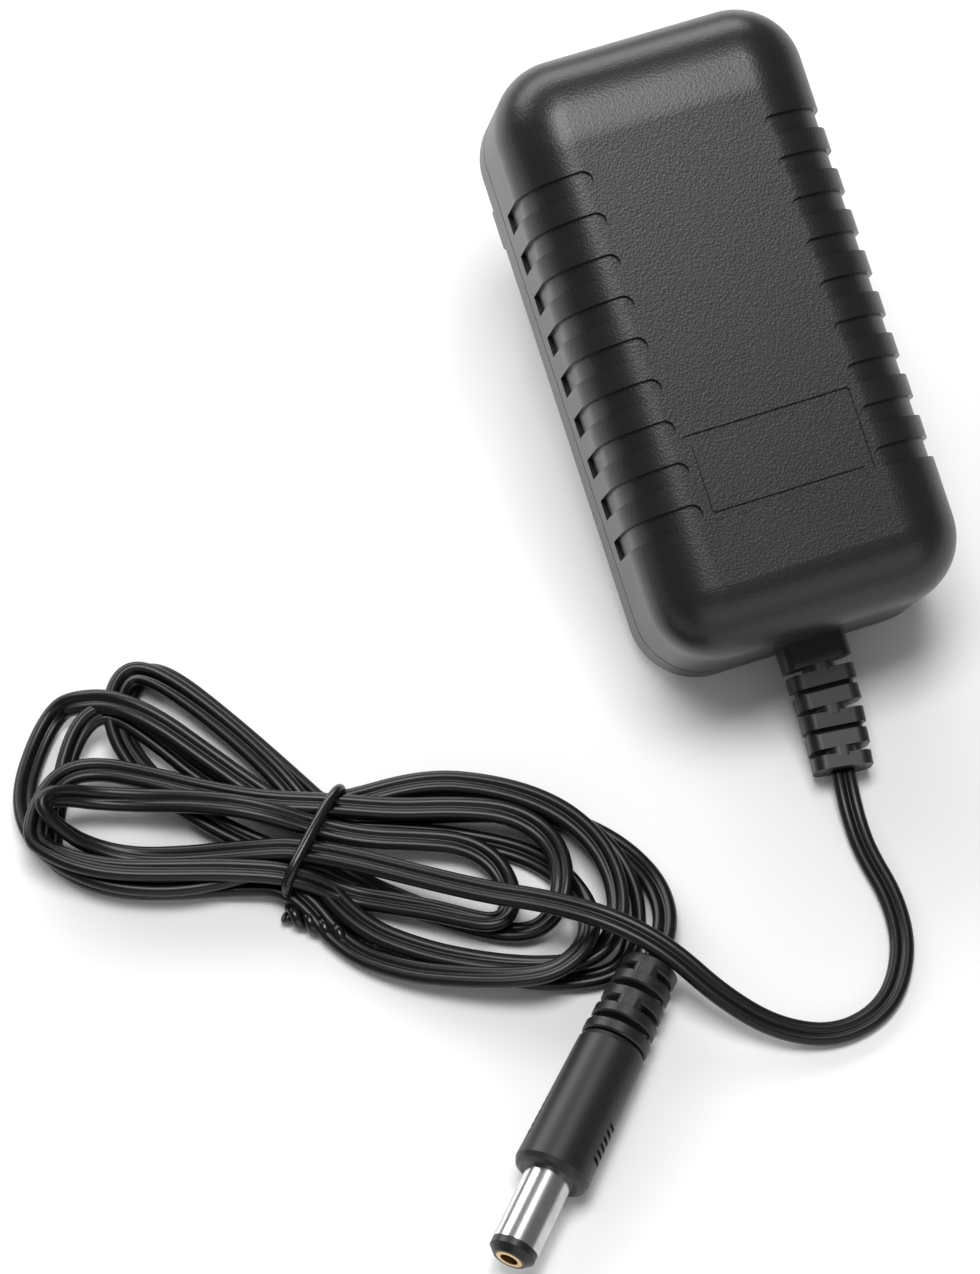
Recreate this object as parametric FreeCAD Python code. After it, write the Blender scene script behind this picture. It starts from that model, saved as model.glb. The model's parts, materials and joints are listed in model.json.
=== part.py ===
import FreeCAD, Part
import math
import os

# Power adapter for the wall: a two-part housing with two round mains pins, a circuit board
# inside it, and a flat two-core lead that ends in a barrel plug. Millimetres throughout.
#
# The housing and all that it holds are built level first: X across, Y towards the end that the
# pins are near, Z out of the front face, with Z = 0 on the flat of the back. The finished
# housing is then set down as it rests by itself, on its two pin tips and on the lower edge of
# its lead end, which tilts it. The lead, its hank and its plug lie on the floor, Z = 0.

V = FreeCAD.Vector

# Housing
LENGTH = 72.0
WIDTH = 37.0
HEIGHT = 26.0
CORNER = 8.0
FRONT_EDGE = 7.5
BACK_EDGE = 3.0
WALL = 2.0
BACK_WALL = 2.2
PARTING = 7.5
SHADOW_LINE = 0.3

# Tongue of the back shell that locates the front cover
TONGUE_HEIGHT = 1.5
TONGUE_WALL = 0.9
TONGUE_PLAY = 0.1

# Finger grooves, from the front face round the edge and down each side to a ledge
GROOVES = 9
GROOVE_PITCH = 5.0
GROOVE_WIDTH = 2.4
GROOVE_DEPTH = 0.55
GROOVE_SHIFT = 0.3
GROOVE_REACH = 10.35
GROOVE_LEDGE = 11.0

# Rectangular channel round the bare label place
LABEL_WIDTH = 20.3
LABEL_LENGTH = 10.2
LABEL_CENTRE = -16.0
LABEL_CORNER = 0.5
CHANNEL_WIDTH = 1.0
CHANNEL_DEPTH = 0.35

# Plug boss on the back and the two mains pins
BOSS_HEIGHT = 4.0
BOSS_LENGTH = 35.3
BOSS_WIDTH = 13.7
BOSS_END = 4.5
BOSS_EDGE = 0.6
BOSS_WALL = 2.0
BOSS_FLOOR = 2.0
BOSS_FULL_CENTRE = 22.6
PIN_SPACING = 19.0
PIN_DIAMETER = 4.0
PIN_LENGTH = 19.0
PIN_SHANK = 3.0
PIN_HEAD = 5.2
PIN_HEAD_HEIGHT = 1.0
SLEEVE_DIAMETER = 3.6
SLEEVE_LENGTH = 10.0
SLEEVE_SEAT = 1.5
TOWER_DIAMETER = 8.0
TOWER_HEIGHT = 1.0

# Circuit board. All places and sizes of what it carries are given for the full board. On another
# board the places move with its sides and ends, and the sizes shrink where there is less room.
FULL_BOARD = (31.6, 62.0)
BOARD_THICKNESS = 1.6
BOARD_PLAY = 0.7
BOARD_END = 5.0
BOARD_CENTRE = 1.0
BOARD_CORNER = 4.0
BOARD_SEAT = 4.2
BOARD_WIDTH = WIDTH - 2 * WALL - 2 * BOARD_PLAY
BOARD_LENGTH = LENGTH - 2 * BOARD_END
ACROSS = BOARD_WIDTH / FULL_BOARD[0]
ALONG = BOARD_LENGTH / FULL_BOARD[1]
FIT = min(ACROSS, ALONG, 1.0)

# Posts that carry the board
POST_DIAMETER = 4.0 * FIT
PEG_DIAMETER = 1.8 * FIT
PEG_PLAY = 0.1
PEG_RISE = 0.6
POST_PLACES = ((-12.6, -27.4), (12.6, -27.4), (-13.4, 28.4), (13.4, 28.4))

# Ribs in the cover that hold the board down
RIB_THICKNESS = 1.2
RIB_DEPTH = 1.5 * FIT
RIB_SPACING = 24.0 * ALONG
RIB_PLAY = 0.1

# Contact springs between the board and the pins
SPRING_THICKNESS = 0.4
SPRING_WIDTH = 3.0 * FIT
SPRING_LENGTH = 5.0 * FIT

# Legs of the components
LEG_DIAMETER = 0.7 * FIT
LEG_PLAY = 0.1
LEG_END = 1.2

# Round capacitors: place on the board, diameter, height and leg spacing
INPUT_CAPACITORS = (((-9.6, 15.2), 8.0, 12.0, 3.5), ((-0.6, 13.0), 8.0, 12.0, 3.5))
OUTPUT_CAPACITORS = (((2.8, -19.0), 8.0, 11.5, 3.5), ((11.4, -19.0), 8.0, 11.5, 3.5))
CAPACITOR_EDGE = 0.6
CAPACITOR_GROOVE = 0.4

# Parts with a leg at each end: place, body diameter, body length, leg spacing
RECTIFIER_DIODES = (((-3.0, 24.0), 2.6, 5.2, 9.0), ((1.5, 24.0), 2.6, 5.2, 9.0),
                    ((6.0, 24.0), 2.6, 5.2, 9.0), ((10.5, 24.0), 2.6, 5.2, 9.0))
FUSE_RESISTOR = ((-10.2, 25.4), 3.4, 8.6, 11.4)
OUTPUT_DIODE = ((-8.5, -17.4), 5.0, 9.0, 12.4)
OUTPUT_CHOKE = ((-7.5, -23.4), 3.8, 7.4, 9.6)
AXIAL_LIFT = 0.2

INPUT_CHOKE = ((7.4, 12.2), 6.4, 8.0, 3.0)
CHOKE_FLANGE = 1.1 * FIT

Y_CAPACITOR = (13.4, 9.6)
DISC_DIAMETER = 6.6 * FIT
DISC_THICKNESS = 3.2 * FIT
DISC_STAND = 1.2
DISC_LEGS = 5.0 * FIT

# Chips with two rows of legs: place, body width, body length, height, legs in a row
CONTROLLER_CHIP = ((-12.0, 3.4), 5.0, 9.4, 3.3, 4)
OPTOCOUPLER = ((-12.0, -8.0), 4.6, 6.4, 3.4, 2)
CHIP_STAND = 0.5
CHIP_PITCH = 2.54 * FIT
CHIP_SHOULDER = 0.9 * FIT

# Transformer: two E cores on a bobbin with its winding
TRANSFORMER = (1.6, -3.6)
CORE_WIDTH = 20.0 * FIT
CORE_DEPTH = 10.0 * FIT
CORE_BACK = 4.2 * FIT
CORE_LEG = 3.6 * FIT
CORE_CENTRE = 5.6 * FIT
CORE_THICKNESS = 5.6 * FIT
BOBBIN_WALL = 0.7 * FIT
BOBBIN_PLAY = 0.1
BOBBIN_FLANGE = 0.7 * FIT
RAIL_HEIGHT = 3.8 * FIT
WINDING_BUILD = 2.6 * FIT
WINDING_CORNER = 2.0 * FIT
RAIL_LEGS = 4
RAIL_PITCH = 5.0 * FIT

# Strain relief of the housing: a flat rubber block slotted from the sides and, halfway
# between, from front and back
NECK_WIDTH = 7.4
NECK_HEIGHT = 5.2
NECK_CORNER = 1.6
FLANGE_RIM = 1.0
FLANGE_LENGTH = 1.6
RELIEF_LEVEL = 9.4
RELIEF_WIDTHS = (8.1, 6.8)
RELIEF_HEIGHTS = (5.6, 4.8)
RELIEF_CORNER = 1.4
RELIEF_BLOCKS = (2.95, 1.76, 1.76, 1.76, 1.76, 1.6)
RELIEF_GAP = 0.8
RELIEF_WEB = 3.4
RELIEF_RISE = 6.0
RELIEF_TURN = -9.0

# Leads from the relief to the board
CORE_WIRE = 1.2
CORE_WIRE_RISE = 1.4
CORE_WIRE_START = 1.0
CORE_WIRE_STRAIGHT = 1.8
CORE_WIRE_END = (3.0, -26.6)

# Flat lead, 2.8 by 1.45 in section, kept as a plain round tube of the same section area
CORD_TUBE = 2.2
CORD_STRAIGHT = 2.0
LEAD_ROUTE = ((-2.1, -57.2, 1.15), (-1.2, -64.0, 1.15), (-2.4, -70.6, 1.15), (-6.6, -76.3, 1.15),
              (-13.2, -77.9, 1.2), (-19.6, -75.3, 2.3), (-24.6, -70.4, 4.6), (-28.6, -63.8, 6.8),
              (-33.6, -58.4, 7.7), (-40.0, -53.4, 7.0), (-46.5, -49.6, 4.4))
TAIL_STRAIGHT = 3.2
TAIL_ROUTE = ((-26.4, -57.2, 2.5), (-26.4, -51.6, 1.25), (-29.4, -45.6, 1.15), (-34.6, -40.9, 1.3),
              (-41.0, -38.0, 2.4))

# Hank of the lead, tied at its waist: outline on the floor and height
HANK_HEIGHT = 6.0
HANK_EDGE = 1.6
HANK_OUTLINE = ((-56.5, -31.0), (-62.5, -25.6), (-69.6, -13.0), (-75.4, -6.9), (-80.2, -8.4),
                (-86.6, -10.6), (-91.8, -16.8), (-92.6, -25.2), (-87.2, -32.0), (-77.0, -37.6),
                (-67.3, -41.2), (-57.6, -50.4), (-48.4, -57.6), (-39.4, -60.6), (-33.4, -57.8),
                (-31.0, -52.0), (-34.0, -44.2), (-42.6, -37.0), (-50.0, -33.4))

# Tie round the waist, with its two ends twisted together beside the hank
TIE_CENTRE = (-61.7, -36.0)
TIE_ANGLE = 45.5
TIE_SPAN = 15.2
TIE_TOP = 6.9
TIE_THICKNESS = 1.2
TIE_BREADTH = 1.7
TIE_CORNER = 2.2
TWIST_START = (-67.9, -42.2)
TWIST_ANGLE = -44.0
TWIST_LOBES = 4
TWIST_LOBE = 1.9
TWIST_RADIUS = 1.35
TWIST_NECK = 0.85

# Barrel plug: its rear end on the floor plan, the way it points, and its sizes
PLUG_REAR = (-30.7, -64.0)
PLUG_ANGLE = -133.36
PLUG_BLOCKS = (1.5, 1.5, 1.5, 1.45, 1.45)
PLUG_GAP = 0.8
PLUG_WEB = 2.8
PLUG_RELIEF = (6.5, 8.0)
GRIP_LENGTH = 17.8
GRIP_REAR = 7.9
GRIP_FRONT = 8.8
GRIP_EDGE = 0.9
GRIP_RIBS = 6
GRIP_RIB_PITCH = 0.9
GRIP_RIB_DEPTH = 0.35
GRIP_RIB_PLACE = 0.67
BARREL_DIAMETER = 5.5
BARREL_BORE = 4.6
BARREL_LENGTH = 9.0
BARREL_ROOT = 3.0
BARREL_NECK = 5.1
CENTRE_DIAMETER = 3.1
CENTRE_BORE = 2.1
TIP_DIAMETER = 5.4
TIP_LENGTH = 1.6
TIP_EDGE = 0.8

# Levels and places that follow from the sizes above
BOSS_CENTRE = BOSS_FULL_CENTRE * ALONG
BOARD_UNDER = BACK_WALL + BOARD_SEAT
BOARD_TOP = BOARD_UNDER + BOARD_THICKNESS
PIN_TIP = -BOSS_HEIGHT - PIN_LENGTH
SLEEVE_LOW = -BOSS_HEIGHT - SLEEVE_LENGTH
TOWER_TOP = BACK_WALL + TOWER_HEIGHT
HEAD_TOP = TOWER_TOP + PIN_HEAD_HEIGHT


def rounded_wire(length, width, corner, level):
    """Closed outline of a rectangle with rounded corners, its length along Y."""
    x, y, r = width / 2, length / 2, corner
    diagonal = r * (1 - math.sqrt(0.5))
    edges = []
    for sx, sy in ((1, 1), (-1, 1), (-1, -1), (1, -1)):
        start = V(sx * x, sy * (y - r), level)
        middle = V(sx * (x - diagonal), sy * (y - diagonal), level)
        end = V(sx * (x - r), sy * y, level)
        ends = (start, end) if sx * sy > 0 else (end, start)
        edges.append(Part.Arc(ends[0], middle, ends[1]).toShape())
    joined = []
    for index, arc in enumerate(edges):
        joined.append(arc)
        following = edges[(index + 1) % 4]
        joined.append(Part.makeLine(arc.lastVertex().Point, following.firstVertex().Point))
    return Part.Wire(joined)


def slab(length, width, corner, low, high):
    """Upright prism on a rounded rectangle, from one level to another."""
    face = Part.Face(rounded_wire(length, width, corner, low))
    return face.extrude(V(0, 0, high - low))


def edges_at(shape, level):
    return [e for e in shape.Edges if all(abs(v.Z - level) < 1e-6 for v in e.Vertexes)]


def polygon_face(points):
    return Part.Face(Part.makePolygon([V(*p) for p in points] + [V(*points[0])]))


def drum(diameter, low, high, place=(0, 0)):
    return Part.makeCylinder(diameter / 2, high - low, V(place[0], place[1], low))


def revolved(points, place=(0, 0)):
    """Turned piece: radius and level points closed back to the axis, about an upright axis."""
    outline = [(radius, 0, level) for radius, level in points]
    solid = polygon_face(outline).revolve(V(0, 0, 0), V(0, 0, 1), 360)
    solid.translate(V(place[0], place[1], 0))
    return solid


def housing_slab(inset, low, high):
    return slab(LENGTH - 2 * inset, WIDTH - 2 * inset, CORNER - inset, low, high)


def cover_form(inset):
    """Form of the front cover, shrunk evenly by an inset: its outside, groove floor or cavity."""
    top = HEIGHT - inset
    form = housing_slab(inset, PARTING, top)
    edge = min(FRONT_EDGE, CORNER - 0.3) - inset
    return form.makeFillet(edge, edges_at(form, top))


def groove_rows():
    middle = (GROOVES - 1) / 2
    return [GROOVE_SHIFT + (row - middle) * GROOVE_PITCH for row in range(GROOVES)]


def groove_prism(side, row):
    """Upright prism on one groove's plan: straight, with a half-round inner end."""
    r = GROOVE_WIDTH / 2
    inner, outer = side * (GROOVE_REACH + r), side * (WIDTH / 2 + 1)
    tip = side * GROOVE_REACH
    corners = [V(inner, row - r, GROOVE_LEDGE), V(outer, row - r, GROOVE_LEDGE),
               V(outer, row + r, GROOVE_LEDGE), V(inner, row + r, GROOVE_LEDGE)]
    edges = [Part.makeLine(corners[i], corners[i + 1]) for i in range(3)]
    edges.append(Part.Arc(corners[3], V(tip, row, GROOVE_LEDGE), corners[0]).toShape())
    return Part.Face(Part.Wire(edges)).extrude(V(0, 0, HEIGHT + 1 - GROOVE_LEDGE))


def label_channel():
    low, high = HEIGHT - CHANNEL_DEPTH, HEIGHT + 1
    outer = slab(LABEL_LENGTH, LABEL_WIDTH, LABEL_CORNER, low, high)
    inner_corner = LABEL_CORNER / 2
    inner = slab(LABEL_LENGTH - 2 * CHANNEL_WIDTH, LABEL_WIDTH - 2 * CHANNEL_WIDTH, inner_corner,
                 low, high)
    channel = outer.cut(inner)
    channel.translate(V(0, LABEL_CENTRE, 0))
    return channel


def relief_opening():
    """Hole in the lead end of both shells for the neck of the strain relief."""
    neck = slab(NECK_HEIGHT, NECK_WIDTH, NECK_CORNER, 0, WALL + 2)
    neck.rotate(V(0, 0, 0), V(1, 0, 0), 90)
    neck.translate(V(0, -LENGTH / 2 + WALL + 1, RELIEF_LEVEL))
    return neck


def cover_ribs():
    ribs = []
    low, high = BOARD_TOP + RIB_PLAY, HEIGHT - FRONT_EDGE
    for side in (-1, 1):
        for along in (-RIB_SPACING / 2, RIB_SPACING / 2):
            outer = side * (WIDTH / 2 - WALL / 2)
            inner = side * (WIDTH / 2 - WALL - RIB_DEPTH)
            left = min(outer, inner)
            corner = V(left, along - RIB_THICKNESS / 2, low)
            ribs.append(Part.makeBox(abs(outer - inner), RIB_THICKNESS, high - low, corner))
    return ribs


def front_cover():
    cover = cover_form(0).cut(cover_form(WALL))
    tongue_space = housing_slab(WALL - TONGUE_WALL - TONGUE_PLAY, PARTING,
                                PARTING + TONGUE_HEIGHT + TONGUE_PLAY)
    ribs = [rib.cut(tongue_space) for rib in cover_ribs()]
    cover = cover.cut(tongue_space).fuse(ribs)
    shadow = housing_slab(-1, PARTING, PARTING + SHADOW_LINE)
    shadow = shadow.cut(housing_slab(SHADOW_LINE, PARTING, PARTING + SHADOW_LINE))
    prisms = Part.makeCompound([groove_prism(s, row) for s in (-1, 1) for row in groove_rows()])
    grooves = prisms.cut(cover_form(GROOVE_DEPTH))
    return cover.cut([shadow, grooves, label_channel(), relief_opening()]).removeSplitter()


def hexagon(inset, low, high):
    """Prism on the six-sided plan of the plug boss, shrunk by an inset."""
    x, y = BOSS_LENGTH / 2 - inset, BOSS_WIDTH / 2 - inset
    end = BOSS_END / 2 - inset * math.tan(math.radians(22.5))
    flat = x - (y - end)
    plan = ((x, -end), (x, end), (flat, y), (-flat, y), (-x, end), (-x, -end), (-flat, -y), (flat, -y))
    face = polygon_face([(px, BOSS_CENTRE + py, low) for px, py in plan])
    return face.extrude(V(0, 0, high - low))


def on_board(place):
    """A place of the full board, moved with the sides and ends of this one."""
    return place[0] * ACROSS, place[1] * ALONG


def fitted(part, axis=None):
    """A part of the full board, as it is on this one: its place, three sizes and the rest.

    The third size follows the board along an axis where one is named, as two legs' spacing does.
    """
    place, first, second, third, *rest = part
    stretch = {None: FIT, "X": ACROSS, "Y": ALONG}[axis]
    return (on_board(place), first * FIT, second * FIT, third * stretch, *rest)


def post_places():
    return [on_board(place) for place in POST_PLACES]


def pin_places():
    return {"left": (-PIN_SPACING / 2, BOSS_CENTRE), "right": (PIN_SPACING / 2, BOSS_CENTRE)}


def back_shell():
    tub = housing_slab(0, 0, PARTING)
    tub = tub.makeFillet(BACK_EDGE, edges_at(tub, 0))
    tub = tub.cut(housing_slab(WALL, BACK_WALL, PARTING))
    tongue_inset = WALL - TONGUE_WALL
    tongue = housing_slab(tongue_inset, PARTING, PARTING + TONGUE_HEIGHT)
    tongue = tongue.cut(housing_slab(WALL, PARTING, PARTING + TONGUE_HEIGHT))
    boss = hexagon(0, -BOSS_HEIGHT, BACK_WALL)
    boss = boss.makeFillet(BOSS_EDGE, edges_at(boss, -BOSS_HEIGHT))
    pocket = hexagon(BOSS_WALL, -BOSS_HEIGHT + BOSS_FLOOR, BACK_WALL)
    towers = [drum(TOWER_DIAMETER, -BOSS_HEIGHT + BOSS_FLOOR, TOWER_TOP, place)
              for place in pin_places().values()]
    posts = []
    for place in post_places():
        posts.append(drum(POST_DIAMETER, BACK_WALL, BOARD_UNDER, place))
        posts.append(drum(PEG_DIAMETER, BOARD_UNDER, BOARD_TOP + PEG_RISE, place))
    shell = tub.fuse([tongue, boss]).cut(pocket).fuse(towers + posts)
    holes = [relief_opening()]
    for place in pin_places().values():
        holes.append(drum(PIN_SHANK, -BOSS_HEIGHT - 1, TOWER_TOP + 1, place))
        holes.append(drum(SLEEVE_DIAMETER, -BOSS_HEIGHT - 1, -BOSS_HEIGHT + SLEEVE_SEAT, place))
    return shell.cut(holes).removeSplitter()


def mains_pin(place):
    """Turned pin: domed tip, bare length, thinner shank under the sleeve, head on its tower."""
    r = PIN_DIAMETER / 2
    dome = math.sqrt(0.5) * r
    tip = Part.Arc(V(0, 0, PIN_TIP), V(dome, 0, PIN_TIP + r - dome), V(r, 0, PIN_TIP + r)).toShape()
    outline = [(r, PIN_TIP + r), (r, SLEEVE_LOW), (PIN_SHANK / 2, SLEEVE_LOW), (PIN_SHANK / 2, TOWER_TOP),
               (PIN_HEAD / 2, TOWER_TOP), (PIN_HEAD / 2, HEAD_TOP), (0, HEAD_TOP), (0, PIN_TIP)]
    points = [V(radius, 0, level) for radius, level in outline]
    lines = [Part.makeLine(a, b) for a, b in zip(points, points[1:])]
    pin = Part.Face(Part.Wire([tip] + lines)).revolve(V(0, 0, 0), V(0, 0, 1), 360)
    pin.translate(V(place[0], place[1], 0))
    return pin


def pin_sleeve(place):
    high = -BOSS_HEIGHT + SLEEVE_SEAT
    return drum(SLEEVE_DIAMETER, SLEEVE_LOW, high, place).cut(drum(PIN_SHANK, SLEEVE_LOW, high, place))


def contact_spring(place):
    """Strip bent to a C, its foot on the pin's head and its upper arm under the board."""
    t, half = SPRING_THICKNESS, SPRING_LENGTH / 2
    low, high = HEAD_TOP, BOARD_UNDER
    middle, r = (low + high) / 2, (high - low) / 2
    y0, y1 = place[1] - half, place[1] + half - r
    outer = Part.Arc(V(0, y1, low), V(0, y1 + r, middle), V(0, y1, high)).toShape()
    inner = Part.Arc(V(0, y1, high - t), V(0, y1 + r - t, middle), V(0, y1, low + t)).toShape()
    wire = Part.Wire([Part.makeLine(V(0, y0, low), V(0, y1, low)), outer,
                      Part.makeLine(V(0, y1, high), V(0, y0, high)),
                      Part.makeLine(V(0, y0, high), V(0, y0, high - t)),
                      Part.makeLine(V(0, y0, high - t), V(0, y1, high - t)), inner,
                      Part.makeLine(V(0, y1, low + t), V(0, y0, low + t)),
                      Part.makeLine(V(0, y0, low + t), V(0, y0, low))])
    strip = Part.Face(wire).extrude(V(SPRING_WIDTH, 0, 0))
    strip.translate(V(place[0] - SPRING_WIDTH / 2, 0, 0))
    return strip


def spread(place, spacing, axis):
    """Two points on the board, evenly each side of a place along X or Y."""
    dx, dy = (spacing / 2, 0) if axis == "X" else (0, spacing / 2)
    return [(place[0] - dx, place[1] - dy), (place[0] + dx, place[1] + dy)]


def chip_legs(place, width, legs):
    first = -(legs - 1) * CHIP_PITCH / 2
    reach = width / 2 + CHIP_SHOULDER / 2
    return [(place[0] + side * reach, place[1] + first + row * CHIP_PITCH)
            for side in (-1, 1) for row in range(legs)]


def rail_legs():
    first = -(RAIL_LEGS - 1) * RAIL_PITCH / 2
    reach = CORE_DEPTH - CORE_BACK / 2
    x0, y0 = on_board(TRANSFORMER)
    return [(x0 + first + i * RAIL_PITCH, y0 + side * reach) for side in (-1, 1) for i in range(RAIL_LEGS)]


def leg_places():
    """Every point where a leg goes through the board."""
    places = rail_legs()
    for part in INPUT_CAPACITORS + OUTPUT_CAPACITORS + (INPUT_CHOKE,):
        place, _, _, spacing = fitted(part)
        places += spread(place, spacing, "X")
    for part, axis in [(diode, "Y") for diode in RECTIFIER_DIODES] + [
            (FUSE_RESISTOR, "Y"), (OUTPUT_DIODE, "X"), (OUTPUT_CHOKE, "X")]:
        place, _, _, spacing = fitted(part, axis)
        places += spread(place, spacing, axis)
    for part in (CONTROLLER_CHIP, OPTOCOUPLER):
        place, width, _, _, legs = fitted(part)
        places += chip_legs(place, width, legs)
    return places + spread(on_board(Y_CAPACITOR), DISC_LEGS, "Y")


def core_wire_end(side):
    return on_board((side * CORE_WIRE_END[0], CORE_WIRE_END[1]))


def circuit_board():
    board = slab(BOARD_LENGTH, BOARD_WIDTH, BOARD_CORNER, BOARD_UNDER, BOARD_TOP)
    board.translate(V(0, BOARD_CENTRE, 0))
    low, high = BOARD_UNDER - 1, BOARD_TOP + 1
    holes = [drum(LEG_DIAMETER + 2 * LEG_PLAY, low, high, place) for place in leg_places()]
    holes += [drum(PEG_DIAMETER + 2 * PEG_PLAY, low, high, place) for place in post_places()]
    holes += [drum(CORE_WIRE + 2 * LEG_PLAY, low, high, core_wire_end(side)) for side in (-1, 1)]
    return board.cut(holes)


def legs_at(places, top):
    return [drum(LEG_DIAMETER, BOARD_UNDER - LEG_END, top, place) for place in places]


def round_capacitor(place, diameter, height, spacing):
    """Can with a crimped groove above its rubber seal, standing on the board."""
    r, low, high = diameter / 2, BOARD_TOP, BOARD_TOP + height
    e, g = CAPACITOR_EDGE, CAPACITOR_GROOVE
    outline = [(0, low), (r - e, low), (r, low + e), (r, low + 3 * e), (r - g, low + 3 * e + g),
               (r, low + 3 * e + 2 * g), (r, high - e / 2), (r - e / 2, high), (r - 2 * e, high),
               (r - 2 * e, high - g / 2), (0, high - g / 2)]
    return revolved(outline, place).fuse(legs_at(spread(place, spacing, "X"), low + e))


def axial_part(place, diameter, length, spacing, axis):
    """Round body lying over the board, with a bent leg from each end."""
    level = BOARD_TOP + AXIAL_LIFT + diameter / 2
    body = Part.makeCylinder(diameter / 2, length, V(0, 0, -length / 2))
    body = body.makeChamfer(diameter / 10, body.Edges)
    wire = Part.makeCylinder(LEG_DIAMETER / 2, spacing, V(0, 0, -spacing / 2))
    lying = body.fuse(wire)
    tilt_axis = V(0, 1, 0) if axis == "X" else V(1, 0, 0)
    lying.rotate(V(0, 0, 0), tilt_axis, 90)
    lying.translate(V(place[0], place[1], level))
    ends = spread(place, spacing, axis)
    knees = [Part.makeSphere(LEG_DIAMETER / 2, V(x, y, level)) for x, y in ends]
    return lying.fuse(legs_at(ends, level) + knees)


def input_choke(place, diameter, height, spacing):
    """Drum core with a winding between two flanges."""
    r, low, high, f = diameter / 2, BOARD_TOP, BOARD_TOP + height, CHOKE_FLANGE
    outline = [(0, low), (r, low), (r, low + f), (r - f / 2, low + f), (r - f / 2, high - f),
               (r, high - f), (r, high), (0, high)]
    return revolved(outline, place).fuse(legs_at(spread(place, spacing, "X"), low + f))


def y_capacitor():
    """Coated disc standing on its two legs."""
    place = on_board(Y_CAPACITOR)
    centre = BOARD_TOP + DISC_STAND + DISC_DIAMETER / 2
    disc = Part.makeCylinder(DISC_DIAMETER / 2, DISC_THICKNESS, V(-DISC_THICKNESS / 2, 0, 0), V(1, 0, 0))
    disc = disc.makeFillet(DISC_THICKNESS / 3, [e for e in disc.Edges if e.Closed])
    disc.translate(V(place[0], place[1], centre))
    return disc.fuse(legs_at(spread(place, DISC_LEGS, "Y"), centre))


def chip(place, width, length, height, legs):
    """Moulded body over the board, its legs bent down outside its two long sides."""
    low = BOARD_TOP + CHIP_STAND
    body = Part.makeBox(width, length, height, V(place[0] - width / 2, place[1] - length / 2, low))
    long_sides = [e for e in body.Edges if abs(e.firstVertex().Y - e.lastVertex().Y) > length / 2]
    body = body.makeChamfer(height / 10, long_sides)
    shoulders = []
    level = low + height / 2
    for x, y in chip_legs(place, width, legs):
        inner = place[0] + math.copysign(width / 2 - 0.5, x - place[0])
        left, right = sorted((inner, x))
        shoulders.append(Part.makeBox(right - left, LEG_DIAMETER, LEG_DIAMETER / 2,
                                      V(left, y - LEG_DIAMETER / 2, level)))
    return body.fuse(shoulders + legs_at(chip_legs(place, width, legs), level + LEG_DIAMETER / 2))


def core_levels():
    return BOARD_TOP + RAIL_HEIGHT, BOARD_TOP + RAIL_HEIGHT + CORE_THICKNESS


def transformer_core(side):
    """One E core, its legs meeting the other's at the middle."""
    w, d, b = CORE_WIDTH / 2, CORE_DEPTH, CORE_DEPTH - CORE_BACK
    leg, c = CORE_WIDTH / 2 - CORE_LEG, CORE_CENTRE / 2
    plan = ((-w, 0), (-leg, 0), (-leg, b), (-c, b), (-c, 0), (c, 0), (c, b), (leg, b), (leg, 0), (w, 0),
            (w, d), (-w, d))
    low, high = core_levels()
    x0, y0 = on_board(TRANSFORMER)
    return polygon_face([(x0 + x, y0 + side * y, low) for x, y in plan]).extrude(V(0, 0, high - low))


def block(half_x, y_from, y_to, low, high):
    """Box centred across the transformer, between two distances along it."""
    x0, y0 = on_board(TRANSFORMER)
    return Part.makeBox(2 * half_x, y_to - y_from, high - low, V(x0 - half_x, y0 + y_from, low))


def tube_section():
    """Half sizes of the bobbin's tube: inside, outside, and outside of the winding."""
    inside = CORE_CENTRE / 2 + BOBBIN_PLAY
    outside = inside + BOBBIN_WALL
    return inside, outside, outside + WINDING_BUILD


def transformer_bobbin():
    inside, outside, wound = tube_section()
    low, high = core_levels()
    middle = (low + high) / 2
    window = CORE_DEPTH - CORE_BACK - BOBBIN_PLAY
    flange = min(wound + 0.15, CORE_WIDTH / 2 - CORE_LEG - BOBBIN_PLAY)
    pieces = [block(outside, -window, window, middle - outside, middle + outside)]
    for near, far in ((-window, -window + BOBBIN_FLANGE), (window - BOBBIN_FLANGE, window)):
        pieces.append(block(flange, near, far, BOARD_TOP, middle + wound + 0.2))
    for near, far in ((-CORE_DEPTH, -window + BOBBIN_FLANGE), (window - BOBBIN_FLANGE, CORE_DEPTH)):
        pieces.append(block(CORE_WIDTH / 2, near, far, BOARD_TOP, low))
    bobbin = pieces[0].fuse(pieces[1:])
    bobbin = bobbin.cut(block(inside, -CORE_DEPTH, CORE_DEPTH, middle - inside, middle + inside))
    return bobbin.fuse(legs_at(rail_legs(), BOARD_TOP + 1)).removeSplitter()


def transformer_winding():
    _, outside, wound = tube_section()
    low, high = core_levels()
    middle = (low + high) / 2
    reach = CORE_DEPTH - CORE_BACK - BOBBIN_PLAY - BOBBIN_FLANGE
    coil = slab(2 * wound, 2 * wound, WINDING_CORNER, -reach, reach)
    coil.rotate(V(0, 0, 0), V(1, 0, 0), 90)
    x0, y0 = on_board(TRANSFORMER)
    coil.translate(V(x0, y0, middle))
    return coil.cut(block(outside, -reach - 1, reach + 1, middle - outside, middle + outside))


def bar(width, height, corner, start, length):
    """Rounded bar along -Y from a start distance, centred on the axis Y."""
    solid = slab(height, width, corner, 0, length)
    solid.rotate(V(0, 0, 0), V(1, 0, 0), 90)
    solid.translate(V(0, -start, 0))
    return solid


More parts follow.
